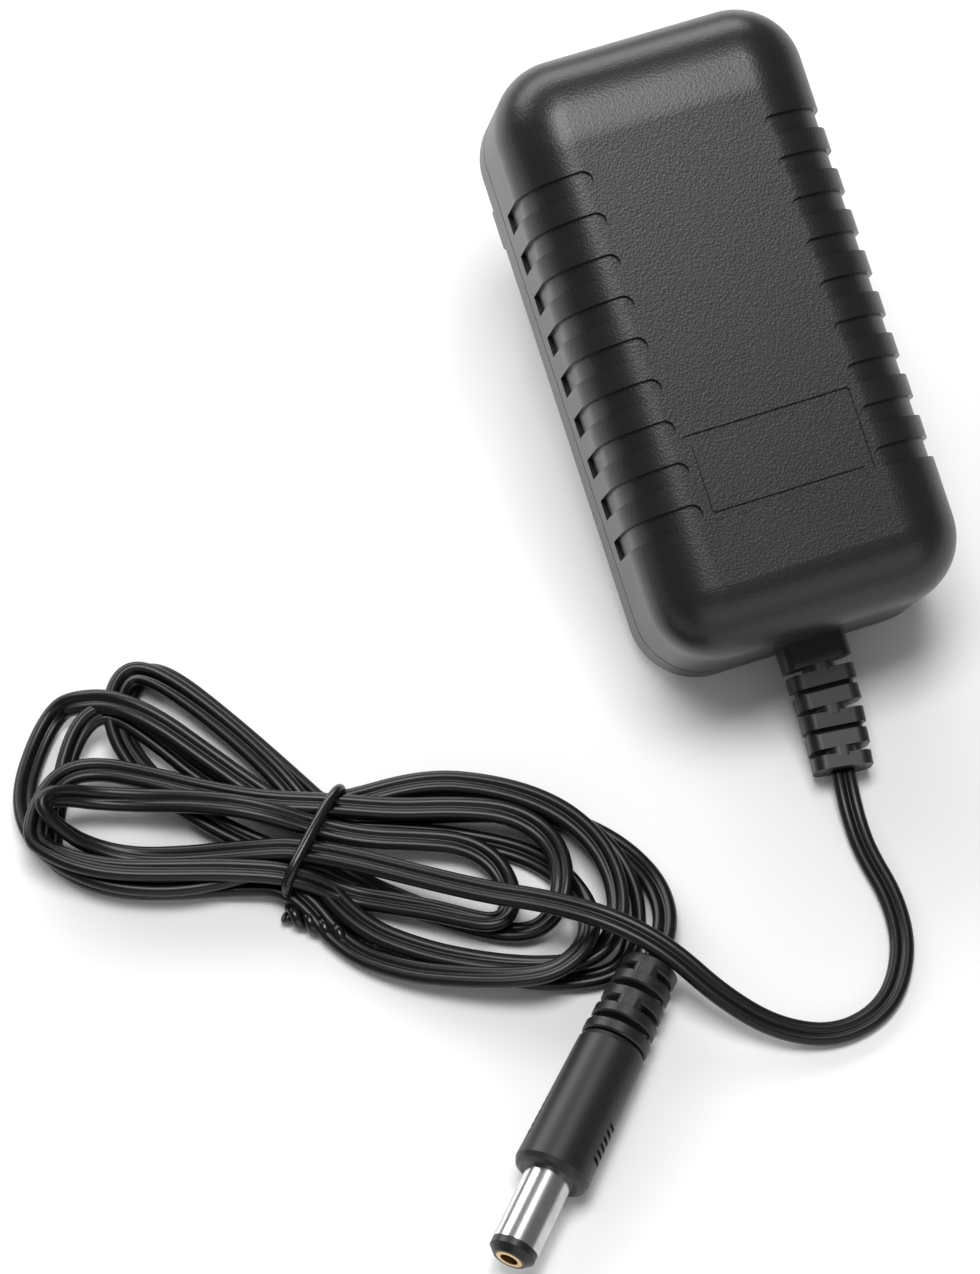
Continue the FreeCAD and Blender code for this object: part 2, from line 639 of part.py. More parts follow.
def slotted_chain(blocks, gap, widths, heights, web, section, bends):
    """Rubber blocks joined by webs, the gaps cut in turn from the sides and from front and back.

    The chain runs along -Y from the origin. At each gap it bends up or aside by its share of
    the bends. Returns the solid, the end point and the turn of the end.
    """
    total = sum(blocks) + gap * (len(blocks) - 1)
    side_gaps = len(blocks) // 2
    flat_gaps = len(blocks) - 1 - side_gaps
    rise, turn = bends
    here, run, pitch, yaw = V(0, 0, 0), 0.0, 0.0, 0.0
    solids = []

    def heading():
        return FreeCAD.Rotation(V(1, 0, 0), -pitch).multiply(FreeCAD.Rotation(V(0, 0, 1), yaw))

    def set_down(solid):
        solid.Placement = FreeCAD.Placement(here, heading()).multiply(solid.Placement)
        solids.append(solid)

    def size(sizes, at):
        return sizes[0] + (sizes[1] - sizes[0]) * at / total

    for index, length in enumerate(blocks):
        middle = run + length / 2
        set_down(section(size(widths, middle), size(heights, middle), 0, length))
        here = here + heading().multVec(V(0, -length, 0))
        run += length
        if index == len(blocks) - 1:
            break
        flat = index % 2 == 1
        half_way = heading().multVec(V(0, -gap / 2, 0))
        here = here + half_way
        pitch += rise / (2 * flat_gaps) if flat else 0
        yaw += 0 if flat else turn / (2 * side_gaps)
        across = size(widths, run) - 0.6 if flat else web
        deep = web * 0.7 if flat else size(heights, run)
        set_down(section(across, deep, -gap / 2 - 0.4, gap + 0.8))
        pitch += rise / (2 * flat_gaps) if flat else 0
        yaw += 0 if flat else turn / (2 * side_gaps)
        here = here + heading().multVec(V(0, -gap / 2, 0))
        run += gap
    return solids[0].fuse(solids[1:]).removeSplitter(), here, heading()


def relief_section(width, height, start, length):
    return bar(width, height, min(RELIEF_CORNER, 0.45 * min(width, height)), start, length)


def plug_section(width, height, start, length):
    """Round ring where width and height are alike, otherwise a flat web."""
    if abs(width - height) < 0.01:
        solid = Part.makeCylinder(width / 2, length, V(0, -start, 0), V(0, -1, 0))
        return solid.makeChamfer(0.2, [e for e in solid.Edges if e.Closed])
    return bar(width, height, 0.3 * min(width, height), start, length)


def resting_tilt():
    """Tilt in degrees and lift of the housing on its pin tips and its lower lead-end edge."""
    r = PIN_DIAMETER / 2
    along = BOSS_CENTRE + LENGTH / 2 - BACK_EDGE
    drop = BACK_EDGE - (PIN_TIP + r)
    tilt = math.atan2(drop, along) - math.asin((BACK_EDGE - r) / math.hypot(along, drop))
    edge_y, edge_z = -LENGTH / 2 + BACK_EDGE, BACK_EDGE
    lift = BACK_EDGE - (edge_y * math.sin(tilt) + edge_z * math.cos(tilt))
    return math.degrees(tilt), lift


def resting_shift():
    """Shift along Y that puts the middle of the tilted housing's floor plan on the origin."""
    tilt = math.radians(resting_tilt()[0])
    edge = min(FRONT_EDGE, CORNER - 0.3)
    far = (LENGTH / 2 - BACK_EDGE) * math.cos(tilt) - BACK_EDGE * math.sin(tilt) + BACK_EDGE
    near = -(LENGTH / 2 - edge) * math.cos(tilt) - (HEIGHT - edge) * math.sin(tilt) - edge
    return -(far + near) / 2


def resting_placement():
    tilt, lift = resting_tilt()
    return FreeCAD.Placement(V(0, resting_shift(), lift), FreeCAD.Rotation(V(1, 0, 0), tilt))


def rested(shape):
    shape.Placement = resting_placement().multiply(shape.Placement)
    return shape


def cord_relief():
    """Strain relief, level, and the point and heading of its free end at rest."""
    chain, end, heading = slotted_chain(RELIEF_BLOCKS, RELIEF_GAP, RELIEF_WIDTHS, RELIEF_HEIGHTS,
                                        RELIEF_WEB, relief_section, (RELIEF_RISE, RELIEF_TURN))
    root = V(0, -LENGTH / 2, RELIEF_LEVEL)
    neck = bar(NECK_WIDTH, NECK_HEIGHT, NECK_CORNER, -WALL, WALL + 0.2)
    flange = bar(NECK_WIDTH + 2 * FLANGE_RIM, NECK_HEIGHT + 2 * FLANGE_RIM, NECK_CORNER + FLANGE_RIM,
                 -WALL - FLANGE_LENGTH, FLANGE_LENGTH)
    relief = chain.fuse([neck, flange]).removeSplitter()
    relief.translate(root)
    rest = resting_placement()
    direction = rest.Rotation.multVec(heading.multVec(V(0, -1, 0)))
    return relief, rest.multVec(end + root), direction


def rounded_route(points):
    """Straight runs joined by tangent arcs as large as their runs allow, and the arcs' radii."""
    corners = [V(*p) for p in points]
    edges, radii, start = [], [], corners[0]
    for before, here, after in zip(corners, corners[1:], corners[2:]):
        back, ahead = before - here, after - here
        shorter = min(back.Length, ahead.Length)
        back.normalize()
        ahead.normalize()
        half_turn = (math.pi - back.getAngle(ahead)) / 2
        reach = 0.45 * shorter
        radius = reach / math.tan(half_turn)
        radii.append(radius)
        first, last = here + back * reach, here + ahead * reach
        inward = back + ahead
        inward.normalize()
        middle = here + inward * (math.hypot(reach, radius) - radius)
        edges.append(Part.makeLine(start, first))
        edges.append(Part.Arc(first, middle, last).toShape())
        start = last
    edges.append(Part.makeLine(start, corners[-1]))
    return Part.Wire(edges), radii


def tube(name, points, diameter):
    """Round tube along a route, with its radii and its volume against section times length."""
    path, radii = rounded_route(points)
    begin = V(*points[1]) - V(*points[0])
    ring = Part.Wire(Part.makeCircle(diameter / 2, V(*points[0]), begin))
    solid = path.makePipeShell([ring], True, False)
    expected = math.pi * diameter ** 2 / 4 * path.Length
    print(f"{name}: length {path.Length:.1f}, least radius {min(radii):.1f}, "
          f"radii {[round(r, 1) for r in radii]}, volume ratio {solid.Volume / expected:.4f}")
    return solid


def core_wire(side, relief_inner):
    """One core of the lead, from the relief's flange to its hole in the board."""
    level = BOARD_TOP + CORE_WIRE_RISE
    x, y = core_wire_end(side)
    start = side * CORE_WIRE_START
    points = ((start, relief_inner, level), (start, relief_inner + CORE_WIRE_STRAIGHT, level), (x, y, level),
              (x, y, BOARD_UNDER))
    return tube("core_wire", points, CORE_WIRE)


def hank_form():
    curve = Part.BSplineCurve()
    curve.interpolate(Points=[V(x, y, 0) for x, y in HANK_OUTLINE], PeriodicFlag=True)
    pad = Part.Face(Part.Wire(curve.toShape())).extrude(V(0, 0, HANK_HEIGHT))
    return pad.makeFillet(HANK_EDGE, edges_at(pad, HANK_HEIGHT) + edges_at(pad, 0))


def twisted_ends():
    """The tie's two ends twisted together: a short row of lobes."""
    edges = []
    for lobe in range(TWIST_LOBES):
        low, high = lobe * TWIST_LOBE, (lobe + 1) * TWIST_LOBE
        edges.append(Part.Arc(V(TWIST_NECK, 0, low), V(TWIST_RADIUS, 0, (low + high) / 2),
                              V(TWIST_NECK, 0, high)).toShape())
    high = TWIST_LOBES * TWIST_LOBE
    edges += [Part.makeLine(V(TWIST_NECK, 0, high), V(0, 0, high)), Part.makeLine(V(0, 0, high), V(0, 0, 0)),
              Part.makeLine(V(0, 0, 0), V(TWIST_NECK, 0, 0))]
    twist = Part.Face(Part.Wire(edges)).revolve(V(0, 0, 0), V(0, 0, 1), 360)
    twist.rotate(V(0, 0, 0), V(0, 1, 0), 90)
    twist.rotate(V(0, 0, 0), V(0, 0, 1), TWIST_ANGLE)
    twist.translate(V(TWIST_START[0], TWIST_START[1], TWIST_RADIUS + 0.1))
    return twist


def twist_tie():
    """Band round the waist of the hank, and its twisted ends."""
    t, b = TIE_THICKNESS, TIE_BREADTH
    outer = slab(TIE_TOP, TIE_SPAN, TIE_CORNER, -b / 2, b / 2)
    inner = slab(TIE_TOP - 2 * t, TIE_SPAN - 2 * t, TIE_CORNER - t, -b / 2, b / 2)
    band = outer.cut(inner)
    band = band.makeFillet(t / 3, edges_at(band, -b / 2) + edges_at(band, b / 2))
    band.rotate(V(0, 0, 0), V(1, 0, 0), 90)
    band.rotate(V(0, 0, 0), V(0, 0, 1), TIE_ANGLE)
    band.translate(V(TIE_CENTRE[0], TIE_CENTRE[1], TIE_TOP / 2 + 0.02))
    return band.fuse(twisted_ends())


def plug_pitch():
    """Rise in degrees of the plug's axis towards its tip, as its tapered grip lies."""
    return math.degrees(math.asin((GRIP_FRONT - GRIP_REAR) / 2 / GRIP_LENGTH))


def plug_relief_length():
    return sum(PLUG_BLOCKS) + PLUG_GAP * (len(PLUG_BLOCKS) - 1)


def plug_placement():
    """From the plug's own axes, along -Y from its rear end, to where it lies."""
    front = plug_relief_length() + GRIP_LENGTH
    pitch = math.radians(plug_pitch())
    level = GRIP_FRONT / 2 * math.cos(pitch) - (front - GRIP_EDGE) * math.sin(pitch)
    turn = FreeCAD.Rotation(V(0, 0, 1), PLUG_ANGLE + 90)
    lean = FreeCAD.Rotation(V(1, 0, 0), -plug_pitch())
    return FreeCAD.Placement(V(PLUG_REAR[0], PLUG_REAR[1], level), turn.multiply(lean))


def turned_along(points):
    """Turned piece along -Y: points are radius and distance from the rear end."""
    solid = revolved([(radius, distance) for radius, distance in points])
    solid.rotate(V(0, 0, 0), V(1, 0, 0), 90)
    return solid


def grip_ribs(front):
    """Fine grooves across both sides of the grip."""
    cuts = []
    middle = front - GRIP_LENGTH * (1 - GRIP_RIB_PLACE)
    radius = (GRIP_REAR + GRIP_FRONT) / 4
    for row in range(GRIP_RIBS):
        at = middle + (row - (GRIP_RIBS - 1) / 2) * GRIP_RIB_PITCH
        for side in (-1, 1):
            box = Part.makeBox(1.0, GRIP_RIB_PITCH / 2, 4.0, V(0, 0, -2.0))
            edge = radius - GRIP_RIB_DEPTH
            box.translate(V(edge if side > 0 else -edge - 1.0, -at - GRIP_RIB_PITCH / 4, 0))
            cuts.append(box)
    return cuts


def plug_pieces():
    """Grip with its relief, barrel, insulator and centre contact, each in the plug's own axes."""
    relief, _, _ = slotted_chain(PLUG_BLOCKS, PLUG_GAP, PLUG_RELIEF, PLUG_RELIEF, PLUG_WEB, plug_section,
                                 (0, 0))
    rear, front = plug_relief_length(), plug_relief_length() + GRIP_LENGTH
    e = GRIP_EDGE
    grip = turned_along([(0, rear - 0.3), (PLUG_RELIEF[1] / 2 - 0.6, rear - 0.3), (GRIP_REAR / 2 - e, rear),
                         (GRIP_REAR / 2 - 0.3 * e, rear + 0.3 * e), (GRIP_REAR / 2, rear + e),
                         (GRIP_FRONT / 2, front - e), (GRIP_FRONT / 2 - 0.3 * e, front - 0.3 * e),
                         (GRIP_FRONT / 2 - e, front), (0, front)])
    neck_r = BARREL_NECK / 2
    socket = turned_along([(0, front - BARREL_ROOT), (neck_r, front - BARREL_ROOT), (neck_r, front + 1),
                           (0, front + 1)])
    grip = grip.fuse(relief).cut([socket] + grip_ribs(front)).removeSplitter()
    root, end = front - BARREL_ROOT, front + BARREL_LENGTH
    tip = end + TIP_LENGTH
    barrel_r, bore_r, tip_r = BARREL_DIAMETER / 2, BARREL_BORE / 2, TIP_DIAMETER / 2
    centre_r, hole_r = CENTRE_DIAMETER / 2, CENTRE_BORE / 2
    barrel = turned_along([(bore_r, root), (neck_r, root), (neck_r, front), (barrel_r, front),
                           (barrel_r, end), (bore_r, end)])
    insulator = turned_along([(centre_r, root), (bore_r, root), (bore_r, end), (tip_r, end),
                              (tip_r, tip - TIP_EDGE), (tip_r - TIP_EDGE, tip), (centre_r, tip)])
    contact = turned_along([(0, root), (centre_r, root), (centre_r, tip), (hole_r, tip), (hole_r, front),
                            (0, front)])
    return {"plug_grip": grip, "plug_barrel": barrel, "plug_insulator": insulator,
            "plug_centre_contact": contact}


def housing_nodes():
    """Everything in and on the housing, level."""
    nodes = {"front_cover": front_cover(), "back_shell": back_shell(), "circuit_board": circuit_board()}
    for name, place in pin_places().items():
        nodes[f"pin_{name}"] = mains_pin(place)
        nodes[f"pin_sleeve_{name}"] = pin_sleeve(place)
        nodes[f"contact_spring_{name}"] = contact_spring(place)
    for number, sizes in enumerate(RECTIFIER_DIODES, 1):
        nodes[f"rectifier_diode_{number}"] = axial_part(*fitted(sizes, "Y"), "Y")
    for number, sizes in enumerate(INPUT_CAPACITORS, 1):
        nodes[f"input_capacitor_{number}"] = round_capacitor(*fitted(sizes))
    for number, sizes in enumerate(OUTPUT_CAPACITORS, 1):
        nodes[f"output_capacitor_{number}"] = round_capacitor(*fitted(sizes))
    nodes["fuse_resistor"] = axial_part(*fitted(FUSE_RESISTOR, "Y"), "Y")
    nodes["output_diode"] = axial_part(*fitted(OUTPUT_DIODE, "X"), "X")
    nodes["output_choke"] = axial_part(*fitted(OUTPUT_CHOKE, "X"), "X")
    nodes["input_choke"] = input_choke(*fitted(INPUT_CHOKE))
    nodes["y_capacitor"] = y_capacitor()
    nodes["controller_chip"] = chip(*fitted(CONTROLLER_CHIP))
    nodes["optocoupler"] = chip(*fitted(OPTOCOUPLER))
    nodes["transformer_core_pin_side"] = transformer_core(1)
    nodes["transformer_core_lead_side"] = transformer_core(-1)
    nodes["transformer_bobbin"] = transformer_bobbin()
    nodes["transformer_winding"] = transformer_winding()
    inner = -LENGTH / 2 + WALL + FLANGE_LENGTH
    nodes["core_wire_left"] = core_wire(-1, inner)
    nodes["core_wire_right"] = core_wire(1, inner)
    return nodes


def cord_nodes(relief, relief_end, relief_heading):
    """The lead, its hank and tie, and its plug, on the floor."""
    tie = twist_tie()
    hank = hank_form().cut(tie)
    start = relief_end + relief_heading * CORD_STRAIGHT
    lead = tube("cord_lead", (tuple(relief_end), tuple(start)) + LEAD_ROUTE, CORD_TUBE)
    lie = plug_placement()
    rear = lie.multVec(V(0, 0, 0))
    behind = lie.multVec(V(0, TAIL_STRAIGHT, 0))
    tail = tube("cord_tail", (tuple(rear), tuple(behind)) + TAIL_ROUTE, CORD_TUBE)
    nodes = {"cord_hank": hank, "twist_tie": tie}
    nodes["cord_lead"] = lead.cut([hank, relief])
    plug = plug_pieces()
    for name, piece in plug.items():
        piece.Placement = lie.multiply(piece.Placement)
        nodes[name] = piece
    nodes["cord_tail"] = tail.cut([hank, nodes["plug_grip"]])
    print("lead starts", relief_end, "then", start, "tail starts", rear, "then", behind)
    return nodes


def main():
    os.makedirs("parts", exist_ok=True)
    nodes = {name: rested(shape) for name, shape in housing_nodes().items()}
    relief, relief_end, relief_heading = cord_relief()
    nodes["cord_relief"] = rested(relief)
    nodes.update(cord_nodes(nodes["cord_relief"], relief_end, relief_heading))
    for name, shape in nodes.items():
        if len(shape.Solids) != 1 or not shape.isValid():
            print(f"check {name}: solids {len(shape.Solids)}, valid {shape.isValid()}")
        shape.exportStep(f"parts/{name}.step")
    print(f"{len(nodes)} nodes, tilt {resting_tilt()[0]:.2f} degrees")


main()
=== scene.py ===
"""Mains power adapter: finishes, the tied flat lead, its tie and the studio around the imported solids.

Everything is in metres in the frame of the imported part: X across the housing, Y towards its pins,
Z up from the surface that it rests on.
"""

from __future__ import annotations

import json
import logging
import math
from dataclasses import dataclass, field
from enum import Enum

import bmesh
import bpy
from mathutils import Matrix, Vector

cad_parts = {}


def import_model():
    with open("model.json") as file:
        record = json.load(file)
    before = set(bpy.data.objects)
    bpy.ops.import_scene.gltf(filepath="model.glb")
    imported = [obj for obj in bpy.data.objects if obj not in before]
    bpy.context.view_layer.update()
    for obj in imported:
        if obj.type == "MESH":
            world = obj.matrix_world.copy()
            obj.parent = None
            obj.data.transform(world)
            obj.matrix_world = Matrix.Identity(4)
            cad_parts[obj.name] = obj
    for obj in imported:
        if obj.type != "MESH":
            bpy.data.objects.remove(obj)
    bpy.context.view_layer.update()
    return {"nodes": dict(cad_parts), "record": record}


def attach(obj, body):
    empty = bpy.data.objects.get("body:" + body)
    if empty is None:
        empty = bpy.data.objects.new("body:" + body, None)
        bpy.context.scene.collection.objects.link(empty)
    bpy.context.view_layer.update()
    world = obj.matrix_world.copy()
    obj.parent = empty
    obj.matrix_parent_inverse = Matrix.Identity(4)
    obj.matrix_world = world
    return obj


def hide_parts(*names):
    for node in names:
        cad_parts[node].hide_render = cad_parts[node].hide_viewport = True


log = logging.getLogger("power_adapter")

Colour = tuple[float, float, float]

MM = 0.001
BODY = "root"

# How the housing rests, tilted about X, and where its front face starts to fall off to its end edge
TILT = math.radians(22.4015)
SET_DOWN = (0.0, 4.2666 * MM, 12.8025 * MM)
CROWN_SPAN = (24.5 * MM, 31.0 * MM)

# Middle of the hank's waist in plan, in millimetres, and the direction across it, in degrees
WAIST = (-61.7, -36.0)
WAIST_ANGLE = 45.5

# Air between strands and the surface in millimetres, and the share of the lead's width at which one strand
# slips past another without being lifted
CLEARANCE = 0.03
SLIP = 0.93

# Vertices nearer than this are one, in metres
MERGE = 1e-6

# How the finishes vary: the size of clouds and of pits as shares of the grain, and shares of the colour
CLOUD = 30
PIT = 1.25
PALER = 1.35
DULLER = 0.82
DARKER = 0.7


class Grade(Enum):
    """How the surface of a moulding is finished."""

    GRAINED = "grained"
    SATIN = "satin"
    GLOSS = "gloss"


class Term:
    """A value inside a material, with the arithmetic that the finishes use."""

    def __init__(self, shader: "Shader", socket: bpy.types.NodeSocket) -> None:
        """Wrap one output socket."""
        self.shader = shader
        self.socket = socket

    def _math(self, operation: str, first: "Term | float", second: "Term | float") -> "Term":
        """Join two values by one Math node."""
        made = self.shader.node("ShaderNodeMath", {"operation": operation}, {0: first, 1: second})
        return Term(self.shader, made.outputs[0])

    def __add__(self, other: "Term | float") -> "Term":
        """Sum."""
        return self._math("ADD", self, other)

    def __radd__(self, other: float) -> "Term":
        """Sum, with the number first."""
        return self._math("ADD", other, self)

    def __sub__(self, other: "Term | float") -> "Term":
        """Difference."""
        return self._math("SUBTRACT", self, other)

    def __rsub__(self, other: float) -> "Term":
        """Difference, with the number first."""
        return self._math("SUBTRACT", other, self)

    def __mul__(self, other: "Term | float") -> "Term":
        """Product."""
        return self._math("MULTIPLY", self, other)

    def __rmul__(self, other: float) -> "Term":
        """Product, with the number first."""
        return self._math("MULTIPLY", other, self)

    def smooth(self, low: float, high: float) -> "Term":
        """Rise smoothly from 0 to 1.

        Args:
            low: The value where the rise starts.
            high: The value where it ends.

        Returns:
            The smoothed value.
        """
        made = self.shader.node("ShaderNodeMapRange", {"interpolation_type": "SMOOTHSTEP"},
                                {"Value": self, "From Min": low, "From Max": high})
        return Term(self.shader, made.outputs["Result"])


class Shader:
    """A material's node tree in the making."""

    def __init__(self, name: str) -> None:
        """Start an empty material with its output."""
        self.material = bpy.data.materials.new(name)
        self.material.use_nodes = True
        self.tree = self.material.node_tree
        self.tree.nodes.clear()
        self.output = self.node("ShaderNodeOutputMaterial")

    def feed(self, value: object, socket: bpy.types.NodeSocket) -> None:
        """Give a socket a value or a link.

        Args:
            value: A number, a tuple, a Term or an output socket.
            socket: The input socket.
        """
        if isinstance(value, Term):
            self.tree.links.new(value.socket, socket)
        elif isinstance(value, bpy.types.NodeSocket):
            self.tree.links.new(value, socket)
        else:
            socket.default_value = value

    def node(self, kind: str, settings: dict[str, object] | None = None,
             inputs: dict[str | int, object] | None = None) -> bpy.types.Node:
        """Add one node.

        Args:
            kind: The node's type.
            settings: Its own settings, set first.
            inputs: Values or links of its sockets, by name or by place.

        Returns:
            The new node.
        """
        made = self.tree.nodes.new(kind)
        for key, value in (settings or {}).items():
            setattr(made, key, value)
        for key, value in (inputs or {}).items():
            self.feed(value, made.inputs[key])
        return made

    def place(self) -> bpy.types.NodeSocket:
        """The point on the piece, in metres."""
        return self.node("ShaderNodeTexCoord").outputs["Object"]

    def along(self) -> Term:
        """Distance along the tilted housing from its middle.

        Returns:
            The distance, in metres.
        """
        moved = self.node("ShaderNodeVectorMath", {"operation": "SUBTRACT"}, {0: self.place(), 1: SET_DOWN})
        axis = self.node("ShaderNodeVectorMath", {"operation": "DOT_PRODUCT"},
                         {0: moved.outputs["Vector"], 1: (0.0, math.cos(TILT), math.sin(TILT))})
        return Term(self, axis.outputs["Value"])

    def noise(self, grain: float, detail: float = 2.0, rough: float = 0.5) -> Term:
        """Cloudy noise from 0 to 1.

        Args:
            grain: Size of its features, in metres.
            detail: How many finer layers it has.
            rough: How strong the finer layers are.

        Returns:
            The noise.
        """
        made = self.node("ShaderNodeTexNoise", {},
                         {"Vector": self.place(), "Scale": 1.0 / grain, "Detail": detail, "Roughness": rough})
        return Term(self, made.outputs["Fac"])

    def pits(self, grain: float) -> Term:
        """Distance to the nearest of many scattered points, about 0 to 1, for an eroded grain."""
        made = self.node("ShaderNodeTexVoronoi", {"feature": "F1"},
                         {"Vector": self.place(), "Scale": 1.0 / grain, "Randomness": 1.0})
        return Term(self, made.outputs["Distance"])

    def blend(self, share: "Term | float", first: Colour, second: Colour) -> bpy.types.NodeSocket:
        """Mix two colours.

        Args:
            share: How much of the second there is.
            first: Linear colour.
            second: Linear colour.

        Returns:
            The colour's socket.
        """
        made = self.node("ShaderNodeMix", {"data_type": "RGBA"},
                         {0: share, 6: (*first, 1.0), 7: (*second, 1.0)})
        return made.outputs[2]

    def bump(self, height: Term, depth: float, under: bpy.types.Node | None = None) -> bpy.types.Node:
        """Raise the surface.

        Args:
            height: Height from 0 to 1.
            depth: How high 1 is, in metres.
            under: A bump that lies under this one.

        Returns:
            The bump node.
        """
        inputs = {"Height": height, "Distance": depth, "Strength": 1.0}
        if under is not None:
            inputs["Normal"] = under.outputs["Normal"]
        return self.node("ShaderNodeBump", {}, inputs)

    def finish(self, **inputs: object) -> bpy.types.Material:
        """Close the material with a surface.

        Args:
            **inputs: Sockets of the surface shader, with underscores for spaces.

        Returns:
            The material.
        """
        surface = self.node("ShaderNodeBsdfPrincipled", {},
                            {key.replace("_", " "): value for key, value in inputs.items()})
        self.tree.links.new(surface.outputs[0], self.output.inputs["Surface"])
        return self.material


@dataclass(frozen=True)
class Moulding:
    """A moulded plastic or rubber surface."""

    name: str
    colour: Colour
    grade: Grade
    roughness: float
    grain: float = 0.25 * MM
    depth: float = 0.012 * MM
    specular: float = 0.5
    crown: float = 0.0

    def build(self) -> bpy.types.Material:
        """Make the material.

        Returns:
            The material, with a grain, a gloss that varies and, on the housing, the fall of its front face.
        """
        shader = Shader(self.name)
        cloud = shader.noise(self.grain * CLOUD, 3.0)
        fine = shader.noise(self.grain, 2.0, 0.6)
        pale = tuple(channel * PALER for channel in self.colour)
        if self.grade is Grade.GRAINED:
            pitted = shader.pits(self.grain * PIT)
            relief = fine * 0.6 + pitted * 0.7
            rough = self.roughness + (fine - 0.5) * 0.16 + (cloud - 0.5) * 0.05
        elif self.grade is Grade.SATIN:
            relief = fine * 0.6 + cloud * 0.5
            rough = self.roughness + (cloud - 0.5) * 0.10 + (fine - 0.5) * 0.06
        else:
            relief = cloud * 0.7 + fine * 0.2
            rough = self.roughness + (cloud - 0.5) * 0.08
        under = shader.bump(shader.along().smooth(*CROWN_SPAN), -self.crown) if self.crown else None
        bump = shader.bump(relief, self.depth, under)
        return shader.finish(Base_Color=shader.blend(fine * 0.5 + cloud * 0.5, self.colour, pale),
                             Roughness=rough, Specular_IOR_Level=self.specular, Normal=bump.outputs["Normal"])


@dataclass(frozen=True)
class Plated:
    """Bright plated metal with faint smears."""

    name: str
    colour: Colour
    roughness: float
    grain: float = 0.08 * MM
    smear: float = 1.6 * MM
    depth: float = 0.0012 * MM

    def build(self) -> bpy.types.Material:
        """Make the material.

        Returns:
            The material, with smears and a very fine grain.
        """
        shader = Shader(self.name)
        smear = shader.noise(self.smear, 3.0, 0.6)
        fine = shader.noise(self.grain, 1.0)
        dull = tuple(channel * DULLER for channel in self.colour)
        bump = shader.bump(fine, self.depth)
        return shader.finish(Base_Color=shader.blend(smear.smooth(0.35, 0.7), self.colour, dull),
                             Metallic=1.0, Roughness=self.roughness + smear * 0.12 + fine * 0.04,
                             Normal=bump.outputs["Normal"])


@dataclass(frozen=True)
class Fired:
    """Pressed or dipped ceramic, with faint speckles."""

    name: str
    colour: Colour
    roughness: float
    speck: float = 0.35 * MM
    depth: float = 0.006 * MM

    def build(self) -> bpy.types.Material:
        """Make the material.

        Returns:
            The material, with darker specks.
        """
        shader = Shader(self.name)
        specks = shader.noise(self.speck, 3.0, 0.7).smooth(0.45, 0.75)
        dark = tuple(channel * DARKER for channel in self.colour)
        bump = shader.bump(specks, self.depth)
        return shader.finish(Base_Color=shader.blend(specks, self.colour, dark),
                             Roughness=self.roughness + specks * 0.1, Normal=bump.outputs["Normal"])


FINISHES = {
    "housing": Moulding("grained_housing", (0.0085, 0.0086, 0.0090), Grade.GRAINED, 0.34, 0.24 * MM,
                        0.020 * MM, crown=0.5 * MM),
    "relief_rubber": Moulding("relief_vinyl", (0.0075, 0.0075, 0.0078), Grade.SATIN, 0.42),
    "plug_moulding": Moulding("plug_vinyl", (0.0085, 0.0085, 0.0088), Grade.SATIN, 0.42),
    "cord_cover": Moulding("lead_vinyl", (0.0034, 0.0034, 0.0036), Grade.GLOSS, 0.34, 0.3 * MM, 0.006 * MM,
                           0.4),
    "tie_plastic": Moulding("tie_plastic", (0.0050, 0.0050, 0.0052), Grade.GLOSS, 0.24, 0.3 * MM, 0.006 * MM),
    "plug_insulator": Moulding("tip_plastic", (0.0075, 0.0075, 0.0078), Grade.SATIN, 0.38),
    "pin_sleeve": Moulding("sleeve_plastic", (0.022, 0.022, 0.023), Grade.SATIN, 0.36),
    "pin_metal": Plated("pin_nickel", (0.66, 0.65, 0.62), 0.16),
    "plug_metal": Plated("barrel_nickel", (0.72, 0.72, 0.71), 0.14),
    "contact_metal": Plated("contact_brass", (0.72, 0.52, 0.24), 0.22),
    "board": Moulding("board_mask", (0.030, 0.130, 0.055), Grade.GLOSS, 0.30),
    "diode_body": Moulding("diode_epoxy", (0.022, 0.022, 0.023), Grade.SATIN, 0.5),
    "input_capacitor": Moulding("input_sleeve", (0.018, 0.026, 0.070), Grade.GLOSS, 0.25),
    "output_capacitor": Moulding("output_sleeve", (0.012, 0.060, 0.048), Grade.GLOSS, 0.25),
    "resistor_body": Fired("resistor_coating", (0.24, 0.33, 0.29), 0.6),
    "choke_sleeve": Moulding("choke_sleeve", (0.020, 0.020, 0.020), Grade.GLOSS, 0.32),
    "disc_coating": Fired("disc_coating", (0.040, 0.130, 0.400), 0.4),
    "chip_body": Moulding("chip_epoxy", (0.018, 0.018, 0.018), Grade.SATIN, 0.55),
    "optocoupler_body": Moulding("optocoupler_epoxy", (0.62, 0.62, 0.58), Grade.SATIN, 0.5),
    "ferrite": Fired("ferrite", (0.045, 0.045, 0.050), 0.55),
    "bobbin_plastic": Moulding("bobbin_plastic", (0.030, 0.030, 0.030), Grade.SATIN, 0.45),
    "winding_tape": Moulding("winding_tape", (0.62, 0.40, 0.035), Grade.GLOSS, 0.28),
    "wire_cover": Moulding("wire_cover", (0.020, 0.020, 0.020), Grade.GLOSS, 0.35),
}


def dress(piece: bpy.types.Object, material: bpy.types.Material) -> None:
    """Give a piece one material and its body.

    Args:
        piece: The piece.
        material: Its material.
    """
    piece.data.materials.clear()
    piece.data.materials.append(material)
    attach(piece, BODY)


